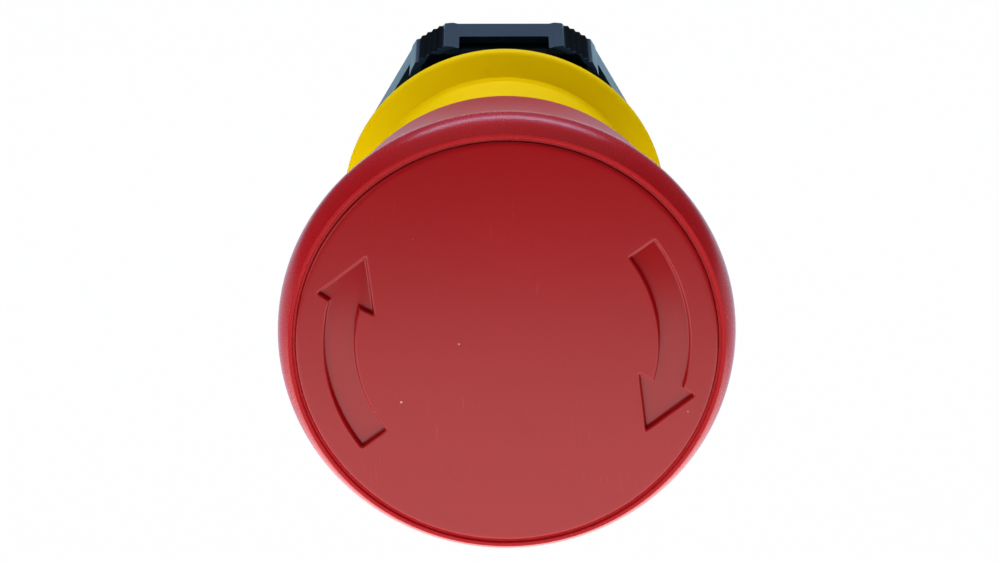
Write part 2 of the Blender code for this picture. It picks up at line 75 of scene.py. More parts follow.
def span(node):
    """Radius, rear height and front height of a node, in millimetres."""
    low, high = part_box(node)
    return high.x / MM, -high.y / MM, -low.y / MM


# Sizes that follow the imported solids
HEAD_R, SKIRT_Z, FACE_Z = span("mushroom_shell")
DISC_R, DISC_Z, _ = span("face_disc")
COLLAR_R, _, BOSS_TOP = span("collar")
_, BUSH_END, BUSH_TOP = span("bushing")
_, NUT_REAR, NUT_FRONT = span("hex_nut")
NUT_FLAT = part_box("hex_nut")[1].z / MM
_, WASHER_Z, WASHER_TOP = span("lock_washer")
CAM_TOP_R, CAM_Z, CAM_TOP = span("trip_cam")
PUSHER_R, PUSHER_LOW, _ = span("contact_pusher")
_, STEM_END, STEM_TOP = span("plunger")

# Clearance and travels
GAP = 0.3
PRESS = 6.0

# Stem, cam, latch pins and bushing
STEM_R = 4.0
STEM_WALL = 1.3
SOCKET = 5.5
FLANGE = 1.4
FLANGE_Z = CAM_Z - GAP - FLANGE
CAM_FOOT = 0.5
CAM_ROOM = 1.095
PIN_R = 1.0
PIN_Z = CAM_Z + CAM_FOOT + PIN_R
PIN_TIP = 5.7
PIN_FOOT = 8.8
PIN_COIL = 2.2
THREAD_R = 11.0
THREAD_END = -1.6
THREAD_STEPS = 72
COIL_STEPS = 64
BORE_IN = STEM_R + GAP
BORE_R = CAM_TOP_R + CAM_ROOM
BUSH_FLOOR = BUSH_END + 3.0

# Collar, gasket and seals
COLLAR_BORE = THREAD_R + GAP
BOSS_R = COLLAR_BORE + 1.9
O_RING_Z = BOSS_TOP - 9.0
O_RING_R = 0.45
GASKET_IN, GASKET_OUT = 12.4, 14.0
SEAL_BORE_R = BORE_R + 1.5
SEAL_Z = BUSH_TOP - 7.6
SEAL = 2.3
RETAINER = 1.0
RETAINER_Z = SEAL_Z + GAP + SEAL + GAP

# Head
RIM_ROUND = 4.66
POCKET_R = DISC_R + GAP
LEDGE_Z = DISC_Z - GAP
LEDGE_R = POCKET_R - 2.46
WEB_TOP = LEDGE_Z - 2.4
WEB_BOTTOM = WEB_TOP - 2.2
HUB_R = BORE_IN + 1.9
CARRIER = 1.6
HUB_END = RETAINER_Z + RETAINER + PRESS + GAP + CARRIER + GAP + 0.1
SKIRT_WALL = 1.65
SKIRT_R = BOSS_R + 1.55 + SKIRT_WALL

# Nut
NUT_TIP_R = 14.45
NUT_TURNED_R = NUT_TIP_R + 0.5
NUT_CHAMFER = 0.95
NUT_TUBE = COLLAR_BORE + 0.9
NUT_BAND = NUT_REAR + 4.65
HALF_FLAT = math.sqrt(NUT_TIP_R ** 2 - NUT_FLAT ** 2)
NUT_WINDOW = HALF_FLAT - 1.4

# Camera that matches the photograph: degrees, millimetres and pixels
TILT, ROLL = 19.18, -0.24
SEEN = (0.69, 5.43, 346.77)
FITTED_FACE = 39.3
FOCAL, PICTURE = 4000.0, 998.0
SENSOR = 36.0

# World: its strength on surfaces, in reflections, and its tint there
WORLD = 0.12
GLINT = 0.16
GLINT_TINT = (0.50, 0.86, 1.25)

# Table: near edge, far edge, half width and height in metres. Its reflected glow is
# given as rows of start and end in millimetres along y, strength and tint.
TABLE = (-0.7, 1.4, 1.4)
TABLE_Z = -0.055
TABLE_WHITE = 0.97
# Painted shade: in front of this span, in millimetres along y, the table is near black; the
# camera still sees it white.
PAINTED_SHADE_EDGE = (-200.0, -188.0)
TABLE_GLOW = [(*PAINTED_SHADE_EDGE, 0.1, (0.92, 0.97, 1.05)), (0.0, 40.0, 1.5, (0.56, 0.84, 1.05))]

# Lamps: name, place, target, size in metres, watts, tint, shows in reflections
LAMPS = [
    ("overhead", (0.0, 0.06, 0.50), (0.0, 0.0, 0.0), (0.80, 0.50), 2.45, WHITE, False),
    ("strip_behind", (0.0, 0.42, 0.38), (0.0, -0.03, 0.01), (0.50, 0.016), 1.15,
     (0.78, 0.88, 1.3), True),
    ("front_left", (-0.34, -0.36, 0.02), (0.0, -0.03, 0.0), (0.34, 0.26), 0.46, WHITE, True),
    ("table_near", (-0.03, -0.09, -0.053), (-0.03, -0.09, 1.0), (0.34, 0.22), 0.47, WHITE,
     True),
]


def srgb(r, g, b):
    """A colour as seen on screen, 0 to 255, as linear light."""
    channels = [v / 255.0 for v in (r, g, b)]
    return [c / 12.92 if c <= 0.04045 else ((c + 0.055) / 1.055) ** 2.4 for c in channels]


def colour_property(label, about, rgb):
    """A colour that a user would change."""
    return FloatVectorProperty(
        name=label, description=about, subtype="COLOR", size=3,
        min=0.0, max=1.0, default=srgb(*rgb),
    )


def length_property(label, about, millimetres):
    """A length that a user would change, kept in metres."""
    return FloatProperty(
        name=label, description=about, default=millimetres * MM,
        unit="LENGTH", subtype="DISTANCE", precision=5,
    )


class StopButtonSizes(bpy.types.PropertyGroup):
    """Small sizes that finish the pieces."""

    turn_steps: IntProperty(
        name="Steps round", description="Facets round the turned pieces", default=192, min=32)
    arrow_depth: length_property("Arrow depth", "How far the arrows sink into the face", 0.46)
    arrow_edge: length_property("Arrow edge", "Softened edge round the arrows", 0.2)
    thread_pitch: length_property("Thread pitch", "Rise of the thread in one turn", 1.5)
    thread_depth: length_property("Thread depth", "Height of the thread's ridge", 0.62)
    nut_edge: length_property("Nut edge", "Rounding of the nut's moulded edges", 0.1)
    washer_ridges: IntProperty(
        name="Washer ridges", description="Gripping ridges on the washer", default=24, min=6)


class StopButtonColours(bpy.types.PropertyGroup):
    """Base colours, each named like the finish that starts from it."""

    red_shell: colour_property("Head", "Red of the head's shell", (176, 22, 28))
    red_face: colour_property("Face", "Red of the face disc", (153, 6, 12))
    yellow_collar: colour_property("Collar", "Yellow of the collar", (241, 205, 0))
    black_plastic: colour_property("Bushing", "Black moulded plastic", (17, 18, 21))
    nut_plastic: colour_property("Nut", "Blue-grey of the nut", (13, 28, 40))
    spring_steel: colour_property("Wire", "Bright spring wire", (178, 180, 184))
    zinc_plate: colour_property("Plating", "Zinc plated steel", (190, 192, 194))
    seal_rubber: colour_property("Rubber", "Soft black rubber", (28, 28, 30))
    white_acetal: colour_property("Acetal", "Off-white acetal", (226, 223, 212))


def sizes():
    """The user's small sizes."""
    return bpy.context.scene.stop_button_sizes


def colours():
    """The user's colours."""
    return bpy.context.scene.stop_button_colours


def operator_of(operation, reflected=False):
    """A method that adds the Math node of an operation on two values."""
    def method(self, other):
        pair = (other, self) if reflected else (self, other)
        return self.maths(operation, *pair)
    return method


class Wire:
    """A socket that takes part in arithmetic, each operator adding its node."""

    def __init__(self, tree, socket):
        self.tree = tree
        self.socket = socket

    def maths(self, operation, *values):
        return self.tree.add("ShaderNodeMath", {"operation": operation},
                             dict(enumerate(values)))

    __add__, __radd__ = operator_of("ADD"), operator_of("ADD", True)
    __sub__, __rsub__ = operator_of("SUBTRACT"), operator_of("SUBTRACT", True)
    __mul__, __rmul__ = operator_of("MULTIPLY"), operator_of("MULTIPLY", True)
    __truediv__, __pow__ = operator_of("DIVIDE"), operator_of("POWER")
    least, most = operator_of("MINIMUM"), operator_of("MAXIMUM")

    def sine(self):
        return self.maths("SINE", self)

    def cosine(self):
        return self.maths("COSINE", self)

    def ease(self, low, high, start=0.0, end=1.0):
        """Runs smoothly from start to end as the value goes from low to high."""
        return self.tree.add(
            "ShaderNodeMapRange", {"interpolation_type": "SMOOTHSTEP"},
            {0: self, 1: low, 2: high, 3: start, 4: end})


class Tree:
    """Adds nodes to a shader or geometry tree."""

    def __init__(self, tree):
        self.tree = tree

    def add(self, kind, settings=None, inputs=None, out=0):
        """One node: its settings first, then the values or links of its sockets."""
        made = self.tree.nodes.new(kind)
        for key, value in (settings or {}).items():
            setattr(made, key, value)
        for key, value in (inputs or {}).items():
            if isinstance(value, Wire):
                self.tree.links.new(value.socket, made.inputs[key])
            else:
                made.inputs[key].default_value = value
        return made if out is None else Wire(self, made.outputs[out])

    def end(self, kind, made):
        """Ends the tree in its output node."""
        self.add(kind, None, {0: made}, None)

    def rays(self):
        """One for what the camera sees, also through glass, and one for reflections."""
        path = self.add("ShaderNodeLightPath", out=None)
        seen, through, gloss = (Wire(self, path.outputs[f"Is {kind} Ray"])
                                for kind in ("Camera", "Transmission", "Glossy"))
        return seen.most(through), gloss


class Finish(Tree):
    """A procedural surface. Its patterns are in millimetres on Object coordinates."""

    def __init__(self, name, base):
        self.base = list(base)
        self.material = bpy.data.materials.new(name)
        self.material.use_nodes = True
        self.material.diffuse_color = (*self.base, 1.0)
        super().__init__(self.material.node_tree)
        self.tree.nodes.clear()
        place = self.add("ShaderNodeTexCoord", out="Object")
        self.place = self.add("ShaderNodeVectorMath", {"operation": "SCALE"},
                              {0: place, "Scale": 1.0 / MM})
        self.split = self.add("ShaderNodeSeparateXYZ", inputs={0: self.place}, out=None)

    def axis(self, name):
        return Wire(self, self.split.outputs[name])

    def shade(self, factor):
        """The base colour made lighter or darker."""
        return [min(1.0, c * factor) for c in self.base]

    def stretched(self, x, y, z, turn=(0.0, 0.0, 0.0)):
        """The coordinates drawn out along an axis."""
        return self.add("ShaderNodeMapping", {"vector_type": "POINT"},
                        {"Vector": self.place, "Rotation": turn, "Scale": (x, y, z)})

    def noise(self, scale, detail=3.0, rough=0.5, place=None, twist=0.0):
        return self.add(
            "ShaderNodeTexNoise", {"noise_dimensions": "3D"},
            {"Vector": place or self.place, "Scale": scale, "Detail": detail,
             "Roughness": rough, "Distortion": twist})

    def patches(self, scale, low, high):
        """Islands that rare marks keep to."""
        return self.noise(scale, 1.0).ease(low, high)

    def cells(self, scale, place=None):
        return self.add("ShaderNodeTexVoronoi", {"feature": "F1"},
                        {"Vector": place or self.place, "Scale": scale})

    def specks(self, scale, core, edge, place=None):
        """Dots, full up to their core and gone at their edge."""
        return self.cells(scale, place).ease(core, edge, 1.0, 0.0)

    def blend(self, amount, one, two):
        """Mixes two colours."""
        def rgba(value):
            return value if isinstance(value, Wire) else (*value, 1.0)
        return self.add("ShaderNodeMix", {"data_type": "RGBA"},
                        {0: amount, 6: rgba(one), 7: rgba(two)}, 2)

    def bump(self, height, depth, strength):
        """Relief of that depth in millimetres."""
        return self.add("ShaderNodeBump", None, {
            "Height": height, "Distance": depth * MM, "Strength": strength})

    def skin(self, colour, rough, normal, gloss=0.5, ior=1.5, glare=WHITE, metal=0.0):
        """A Principled shader."""
        return self.add("ShaderNodeBsdfPrincipled", None, {
            "Base Color": colour, "Roughness": rough, "Normal": normal, "Metallic": metal,
            "Specular IOR Level": gloss, "Specular Tint": (*glare, 1.0), "IOR": ior})

    def close(self, shader):
        """Ends the material in a shader and returns it."""
        self.end("ShaderNodeOutputMaterial", shader)
        return self.material


def red_shell(f):
    """Satin red moulding with a fine orange-peel skin and a little dust."""
    grain = f.noise(5.0, 2.0)
    peel = f.noise(0.9, 2.0)
    cloud = f.noise(0.11, 3.0)
    dust = f.specks(0.62, 0.05, 0.085) * f.patches(0.35, 0.52, 0.6)
    polished = f.axis("Y").ease(-FACE_Z + 6.0, -FACE_Z + 4.2)
    tone = f.blend(cloud, f.shade(0.9), f.shade(1.1))
    tone = f.blend(dust * 0.5, tone, srgb(206, 120, 118))
    height = grain * 0.7 + peel * 0.3 + dust * 0.6
    rough = cloud * 0.06 + 0.31 - polished * 0.09 + grain * 0.04
    return f.skin(tone, rough, f.bump(height, 0.022, 0.45), 0.17, 1.47)


def red_face(f):
    """Satin grain, specks, faint scratches and smudges; the arrows' floor is smoother."""
    floor = f.axis("Y").ease(-FACE_Z + 0.3, -FACE_Z + 0.5)
    matt = 1.0 - floor
    grain = f.noise(4.6, 3.0, 0.6)
    fine = f.noise(11.0, 1.0)
    cloud = f.noise(0.085, 3.0, 0.55, twist=0.4)
    smudge = f.noise(0.23, 4.0, 0.6, twist=0.8).ease(0.56, 0.72)
    smudge = smudge * f.axis("Z").ease(-4.0, -14.0)
    pale = f.specks(0.42, 0.028, 0.05) * f.patches(0.3, 0.54, 0.6)
    turned_place = f.stretched(1.0, 1.0, 1.0, (0.4, 0.0, 0.9))
    dark = f.specks(0.3, 0.035, 0.06, turned_place) * f.patches(0.21, 0.56, 0.62)
    streak = f.stretched(4.2, 1.0, 0.35, (0.0, 0.14, 0.0))
    scratch = f.noise(1.1, 2.0, 0.4, streak).ease(0.68, 0.73) * f.patches(0.16, 0.52, 0.62)
    tone = f.blend(cloud, f.shade(0.92), f.shade(1.08))
    for amount, colour in (
            (grain * 0.22 * matt, f.shade(1.5)), (smudge * 0.22, f.shade(0.72)),
            (dark * 0.75, srgb(96, 8, 12)), (pale * 0.8, srgb(232, 178, 172)),
            (scratch * 0.06, srgb(206, 96, 94))):
        tone = f.blend(amount, tone, colour)
    height = (grain * 0.75 + fine * 0.3) * matt + pale * 0.8 + scratch * 0.1
    rough = 0.2 + grain * 0.04 - smudge * 0.05 - floor * 0.1
    return f.skin(tone, rough, f.bump(height, 0.03, 0.12), 0.44, 1.47)


def yellow_collar(f):
    """Satin yellow moulding with a faint flow of colour."""
    grain = f.noise(5.2, 2.0)
    flow = f.noise(0.16, 3.0, twist=0.6)
    tone = f.blend(flow, f.shade(0.93), f.shade(1.05))
    tone = f.blend(f.noise(0.7, 2.0).ease(0.66, 0.74) * 0.08, tone, srgb(196, 156, 10))
    return f.skin(tone, flow * 0.1 + 0.44, f.bump(grain, 0.018, 0.35), 0.03, 1.36)


def painted_shade_mask(f):
    """One where shade is painted: on the nut's toothed corners and on its windows' floors,
    else nothing.
    """
    x, z = f.axis("X"), f.axis("Z")
    angle = f.add("ShaderNodeMath", {"operation": "ARCTAN2"}, {0: z, 1: x})
    radius = (x * x + z * z) ** 0.5
    cos30, sin30 = 0.866, 0.5
    one, two = x * cos30 + z * sin30, x * cos30 - z * sin30
    across = (z * z).most(one * one).most(two * two) ** 0.5
    chamfer = NUT_FRONT + NUT_TURNED_R - NUT_CHAMFER
    behind = (f.axis("Y") - radius).ease(0.02 - chamfer, 0.1 - chamfer)
    teeth = (angle * 6.0).cosine().ease(0.8, 0.88) * behind
    return teeth.most(across.ease(NUT_TUBE + 0.4, NUT_TUBE + 0.2))


def filled_plastic(f, rough, gloss=0.5, glare=WHITE, grip_painted_shade=False):
    """Glass-filled moulding: short fibres lie in the skin and dull it."""
    fibre = f.noise(3.4, 3.0, 0.6, f.stretched(0.5, 1.4, 0.5, (0.3, 0.2, 0.5)))
    grain = f.noise(7.0, 2.0)
    cloud = f.noise(0.22, 3.0)
    fleck = fibre.ease(0.62, 0.74)
    tone = f.blend(cloud, f.shade(0.85), f.shade(1.2))
    tone = f.blend(fleck * 0.3, tone, f.shade(2.6))
    relief = f.bump(grain * 0.6 + fibre * 0.4, 0.025, 0.5)
    skin = f.skin(tone, fleck * 0.1 + cloud * 0.06 + rough, relief, gloss, glare=glare)
    if not grip_painted_shade:
        return skin
    # Painted shade: the toothed corners and the windows' floors get a near black, dull skin
    # for the shade that falls in them.
    tone = f.blend(cloud, f.shade(0.08), f.shade(0.2))
    dull = f.skin(tone, fleck * 0.08 + 0.8, relief, 0.08, 1.3)
    return f.add("ShaderNodeMixShader", None, {0: painted_shade_mask(f), 1: skin, 2: dull})


def black_plastic(f):
    """Black filled moulding."""
    return filled_plastic(f, 0.42)


def nut_plastic(f):
    """Blue-grey filled moulding, duller on the nut's toothed corners and windows' floors,
    where painted shade makes it near black.
    """
    return filled_plastic(f, 0.33, 0.38, (0.62, 0.86, 1.0), grip_painted_shade=True)


def spring_steel(f):
    """Bright drawn wire with fine lines and a few dull patches."""
    drawn = f.noise(6.0, 2.0, 0.5, f.stretched(1.0, 5.0, 1.0))
    dull = f.noise(0.9, 3.0).ease(0.5, 0.7)
    tone = f.blend(dull * 0.5, f.base, f.shade(0.62))
    rough = drawn * 0.12 + 0.2 + dull * 0.12
    return f.skin(tone, rough, f.bump(drawn, 0.006, 0.4), metal=1.0)


def zinc_plate(f):
    """Zinc plate: pale spangle, a warm and a blue cast, and fine stamping lines."""
    spangle = f.cells(1.3)
    cast = f.noise(0.35, 2.0).ease(0.4, 0.62)
    tone = f.blend(cast, srgb(186, 190, 198), srgb(198, 192, 176))
    tone = f.blend(spangle * 0.25, tone, f.shade(0.7))
    brushed = f.noise(5.0, 2.0, 0.5, f.stretched(0.3, 1.0, 3.0))
    rough = spangle * 0.12 + 0.27 + brushed * 0.08
    return f.skin(tone, rough, f.bump(brushed * 0.6 + spangle * 0.4, 0.008, 0.4), metal=1.0)


def seal_rubber(f):
    """Soft matt rubber with a pale bloom and moulding grain."""
    bloom = f.noise(0.6, 4.0, 0.6).ease(0.45, 0.75)
    tone = f.blend(bloom * 0.35, f.base, srgb(74, 74, 78))
    return f.skin(tone, 0.72 + bloom * 0.14, f.bump(f.noise(6.0, 3.0), 0.02, 0.6), 0.35)


def white_acetal(f):
    """Off-white acetal with turning lines and slight handling marks."""
    x, y, z = (f.axis(name) for name in "XYZ")
    lines = ((x * x + z * z) ** 0.5 * 21.0 + y * 17.0).sine() * 0.5 + 0.5
    mark = f.noise(0.8, 4.0, 0.6).ease(0.55, 0.75)
    tone = f.blend(mark * 0.35, f.base, srgb(196, 190, 172))
    rough = 0.36 + mark * 0.12 + lines * 0.05
    return f.skin(tone, rough, f.bump(lines, 0.004, 0.3), 0.45)


MAKERS = (red_shell, red_face, yellow_collar, black_plastic, nut_plastic, spring_steel,
          zinc_plate, seal_rubber, white_acetal)


@functools.cache
def finish(name):
    """The finish of that name, made once."""
    f = Finish(name, getattr(colours(), name))
    maker = next(m for m in MAKERS if m.__name__ == name)
    return f.close(maker(f))


def softened(points, facets=4):
    """A profile or outline, its corners rounded where a point gives a rounding."""
    made = []
    for i, point in enumerate(points):
        here = Vector(point[:2])
        if len(point) < 3:
            made.append(tuple(here))
            continue
        ends = []
        for other in (points[i - 1], points[(i + 1) % len(points)]):
            away = Vector(other[:2]) - here
            ends.append(here + away.normalized() * min(point[2], away.length * 0.49))
        for k in range(facets + 1):
            t = k / facets
            curve = ends[0] * (1 - t) ** 2 + here * 2 * t * (1 - t) + ends[1] * t * t
            made.append(tuple(curve))
    return made


def to_frame(x, y, z):
    """A point drawn about the axis, in millimetres, as a place in the frame."""
    return (x * MM, -z * MM, y * MM)


def polar(radius, degrees):
    """A point on a flat outline."""
    a = math.radians(degrees)
    return (radius * math.cos(a), radius * math.sin(a))


def bridge(bm, one, two):
    """Faces between two closed rows of vertices. A row of one vertex is a pole."""
    count = max(len(one), len(two))
    for i in range(count):
        n = (i + 1) % count
        corners = [one[i % len(one)], one[n % len(one)], two[n % len(two)],
                   two[i % len(two)]]
        kept = list(dict.fromkeys(corners))
        if len(kept) > 2:
            bm.faces.new(kept)


def add_turned(bm, profile, closed=True, steps=None):
    """Spins a profile about the axis into a mesh, with one vertex at each pole."""
    steps = steps or sizes().turn_steps
    rings = []
    for r, z in profile:
        angles = [math.tau * i / steps for i in range(steps)] if r > POLE else [0.0]
        rings.append([bm.verts.new(to_frame(r * math.cos(a), r * math.sin(a), z))
                      for a in angles])
    for one, two in zip(rings, rings[1:] + rings[:1] if closed else rings[1:]):
        bridge(bm, one, two)
    return rings


def store(bm, mesh):
    """Writes a bmesh to a mesh, its doubles merged and its faces turned outwards."""
    bmesh.ops.remove_doubles(bm, verts=bm.verts, dist=MERGE)
    bmesh.ops.recalc_face_normals(bm, faces=bm.faces)
    bm.to_mesh(mesh)
    bm.free()


def linked(name, data):
    """A new object in the scene."""
    made = bpy.data.objects.new(name, data)
    bpy.context.scene.collection.objects.link(made)
    return made


def new_object(name, bm):
    """An object made from a bmesh."""
    mesh = bpy.data.meshes.new(name)
    store(bm, mesh)
    return linked(name, mesh)


def turned(name, profile, steps=None, facets=4):
    """A turned object, its profile closed or with both ends on the axis."""
    bm = bmesh.new()
    add_turned(bm, softened(profile, facets), steps=steps)
    return new_object(name, bm)


def flat_ring(name, inner, outer, low, high, *roundings):
    """A turned ring of four corners, rounded in order from the inner low one."""
    corners = ((inner, low), (outer, low), (outer, high), (inner, high))
    return turned(name, [(*c, r) for c, r in zip(corners, roundings)])


def rod(name, radius, low, high, steps):
    """A plain round cutter on the axis."""
    return turned(name, [(0.0, low), (radius, low), (radius, high), (0.0, high)], steps)


def slab(name, outline, low, high):
    """An outline extruded along the axis."""
    bm = bmesh.new()
    rows = [[bm.verts.new(to_frame(x, y, z)) for x, y in outline] for z in (low, high)]
    for row in rows:
        bm.faces.new(row)
    bridge(bm, *rows)
    return new_object(name, bm)


def box(name, x0, x1, y0, y1, low, high):
    """A plain cutter or rib."""
    return slab(name, [(x0, y0), (x1, y0), (x1, y1), (x0, y1)], low, high)


def bake(obj):
    """Turns an object's modifiers into its plain mesh."""
    bpy.context.view_layer.update()
    graph = bpy.context.evaluated_depsgraph_get()
    mesh = bpy.data.meshes.new_from_object(obj.evaluated_get(graph), depsgraph=graph)
    obj.modifiers.clear()
    obj.data = mesh
    mesh.name = obj.name
    return obj


def modify(obj, name, kind, **settings):
    """Puts a modifier on an object and keeps the result as its plain mesh."""
    step = obj.modifiers.new(name, kind)
    for key, value in settings.items():
        setattr(step, key, value)
    bake(obj)


def carve(obj, tool, operation="DIFFERENCE"):
    """Cuts, joins or trims a piece with a tool that is thrown away."""
    modify(obj, tool.name, "BOOLEAN", operation=operation, object=tool, solver="EXACT")
    bpy.data.objects.remove(tool, do_unlink=True)


def join(target, other):
    """Puts a second closed shape into a piece's mesh."""
    bm = bmesh.new()
    bm.from_mesh(target.data)
    bm.from_mesh(other.data)
    bpy.data.objects.remove(other, do_unlink=True)
    bm.to_mesh(target.data)
    bm.free()


class PieceTree(Tree):
    """A geometry tree with named inputs, run on a piece as a modifier."""

    def __init__(self, name, numbers):
        super().__init__(bpy.data.node_groups.new(name, "GeometryNodeTree"))
        self.tree.is_modifier = True
        face = self.tree.interface

        def socket(label, kind, way="INPUT"):
            return face.new_socket(label, in_out=way, socket_type=f"NodeSocket{kind}")

        socket("Geometry", "Geometry")
        for label, default in numbers.items():
            kind = "Int" if isinstance(default, int) else "Float"
            socket(label, kind).default_value = default
        socket("Finish", "Material")
        socket("Geometry", "Geometry", "OUTPUT")
        entry = self.add("NodeGroupInput", out=None)
        self.wire = {s.name: Wire(self, s) for s in entry.outputs if s.name}
        self.keys = {i.name: i.identifier for i in face.items_tree if i.in_out == "INPUT"}

    def close(self, geometry):
        """Realizes the copies, gives them their finish and ends the tree."""
        real = self.add("GeometryNodeRealizeInstances", None, {0: geometry})
        done = self.add("GeometryNodeSetMaterial", None,
                        {"Geometry": real, "Material": self.wire["Finish"]})
        self.end("NodeGroupOutput", done)
        return self

    def run(self, obj, values, slot):
        """Runs on an object and keeps the result as its plain mesh."""
        step = obj.modifiers.new(self.tree.name, "NODES")
        step.node_group = self.tree
        for label, value in values.items():
            step[self.keys[label]] = value
        step[self.keys["Finish"]] = finish(slot)
        return bake(obj)


@functools.cache
def around_tree():
    """Copies a shape evenly round the button's axis."""
    tree = PieceTree("copies_around_axis", {"Count": 6})
    count = tree.wire["Count"]
    points = tree.add("GeometryNodeMeshLine", None,
                      {"Count": count, "Offset": (0.0, 0.0, 0.0)})
    angle = tree.add("GeometryNodeInputIndex") * math.tau / count
    turn = tree.add("ShaderNodeCombineXYZ", None, {1: angle})
    return tree.close(tree.add("GeometryNodeInstanceOnPoints", None, {
        "Points": points, "Instance": tree.wire["Geometry"], "Rotation": turn}))


@functools.cache
def helix_tree(threaded):
    """A wire or a thread's ridge swept along a helix about the button's axis.

    The ends of a spring close up: its first and last turns rise by less.
    """
    tree = PieceTree("ridge_along_helix" if threaded else "wire_along_helix", {
        "Radius": 5.0, "Section": 0.5, "Turns": 8.0, "Low": 0.0, "Rise": 10.0,
        "Closed turns": 0.0, "Closed rise": 0.0, "Steps": 200, "Sides": 12,
        "Crest": 0.2, "Foot": 1.2})
    wire = tree.wire
    line = tree.add("GeometryNodeCurvePrimitiveLine", None,
                    {"Start": (0.0, 0.0, 0.0), "End": (0.0, 0.0, 1.0)})
    line = tree.add("GeometryNodeResampleCurve", None, {"Curve": line, "Count": wire["Steps"]})
    along = tree.add("GeometryNodeSplineParameter") * wire["Turns"]
    low = along.least(wire["Closed turns"])
    high = (along - wire["Turns"] + wire["Closed turns"]).most(0.0)
    rise = (low + high) * wire["Closed rise"]
    rise = rise + (along - low - high) * wire["Rise"] + wire["Low"]
    angle = along * math.tau
    place = tree.add("ShaderNodeCombineXYZ", None,
                     {0: angle.cosine() * wire["Radius"], 1: angle.sine() * wire["Radius"],
                      2: rise})
    path = tree.add("GeometryNodeSetPosition", None, {"Geometry": line, "Position": place})
    path = tree.add("GeometryNodeSetCurveNormal", {"mode": "Z_UP"}, {0: path})
    if threaded:
        section = tree.add("GeometryNodeCurvePrimitiveQuadrilateral", {"mode": "TRAPEZOID"},
                           {"Bottom Width": wire["Foot"], "Top Width": wire["Crest"],
                            "Height": wire["Section"], "Offset": 0.0})
        section = tree.add("GeometryNodeTransform", None,
                           {"Geometry": section, "Rotation": (0.0, 0.0, -QUARTER)})
    else:
        section = tree.add("GeometryNodeCurvePrimitiveCircle", None,
                           {"Resolution": wire["Sides"], "Radius": wire["Section"]})
    swept = tree.add("GeometryNodeCurveToMesh", None,
                     {"Curve": path, "Profile Curve": section, "Fill Caps": True})
    return tree.close(tree.add("GeometryNodeTransform", None, {
        "Geometry": swept, "Rotation": (QUARTER, 0.0, 0.0), "Scale": (MM, MM, MM)}))


def around(obj, count, slot):
    """Repeats an object's mesh round the axis."""
    return around_tree().run(obj, {"Count": count}, slot)


def helix(name, threaded, values, slot):
    """A wire or a thread's ridge as an object."""
    return helix_tree(threaded).run(new_object(name, bmesh.new()), values, slot)


def thread(name, radius, height, low, high, foot, slot):
    """A thread's ridge between two heights. A negative height points inwards."""
    pitch = sizes().thread_pitch / MM
    turns = (high - low) / pitch
    return helix(name, True, {
        "Radius": radius, "Section": height, "Turns": turns, "Low": low, "Rise": pitch,
        "Steps": int(turns * THREAD_STEPS), "Crest": pitch * 0.2, "Foot": pitch * foot}, slot)


def coil(name, radius, wire, turns, low, high, closed):
    """A spring whose end turns close up."""
    run = (high - wire) - (low + wire)
    snug = 2.0 * wire * 1.12
    open_rise = (run - 2.0 * closed * snug) / (turns - 2.0 * closed)
    return helix(name, False, {
        "Radius": radius, "Section": wire, "Turns": turns, "Low": low + wire,
        "Rise": open_rise, "Closed turns": closed, "Closed rise": snug,
        "Steps": int(turns * COIL_STEPS), "Sides": 16}, "spring_steel")


def lay_across(obj, side, distance):
    """Lays a shape drawn along the axis out to one side, at the latch pins' height."""
    turn = Matrix.Rotation(side * QUARTER, 4, "Z")
    shift = Matrix.Translation((side * distance * MM, -PIN_Z * MM, 0.0))
    obj.data.transform(shift @ turn)
    return obj


def place(obj, body, slot, node, smooth=35.0):
    """Finishes a piece, crisp at corners, and sets it on its body in place of its solid."""
    mesh = obj.data
    bm = bmesh.new()
    bm.from_mesh(mesh)
    store(bm, mesh)
    mesh.materials.clear()
    mesh.materials.append(finish(slot))
    mesh.polygons.foreach_set("material_index", [0] * len(mesh.polygons))
    mesh.shade_smooth()
    mesh.set_sharp_from_angle(angle=math.radians(smooth))
    modify(obj, "even shading", "WEIGHTED_NORMAL", keep_sharp=True)
    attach(obj, body)
    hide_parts(node)


def arc(radius, height, round_r, start, end, steps):
    """Points of an arc in a profile, both ends included."""
    angles = [start + (end - start) * i / steps for i in range(steps + 1)]
    return [(radius + round_r * math.cos(a), height + round_r * math.sin(a)) for a in angles]


def rim_section():
    """Points of the head's rim, the bell's radius at a height, and where the bell starts."""
    ring_r = HEAD_R - RIM_ROUND
    brow = math.acos((POCKET_R + 0.25 - ring_r) / RIM_ROUND)
    rim_z = FACE_Z - RIM_ROUND * math.sin(brow)
    drop = math.atan2(HEAD_R - SKIRT_R, rim_z - SKIRT_Z)
    hollow = 0.22
    rim = arc(ring_r, rim_z, RIM_ROUND, brow, -drop, 30)
    top_r, top_z = rim[-1]

    def bell(z):
        s = (top_z - z) / (top_z - SKIRT_Z)
        return top_r + (SKIRT_R - top_r) * s - hollow * math.sin(math.pi * s)

    return rim, bell, top_z


class StopButtonOperator:
    """Shared by the operators that build pieces."""

    bl_options = {"REGISTER", "UNDO"}

    def execute(self, context):
        self.build()
        return {"FINISHED"}


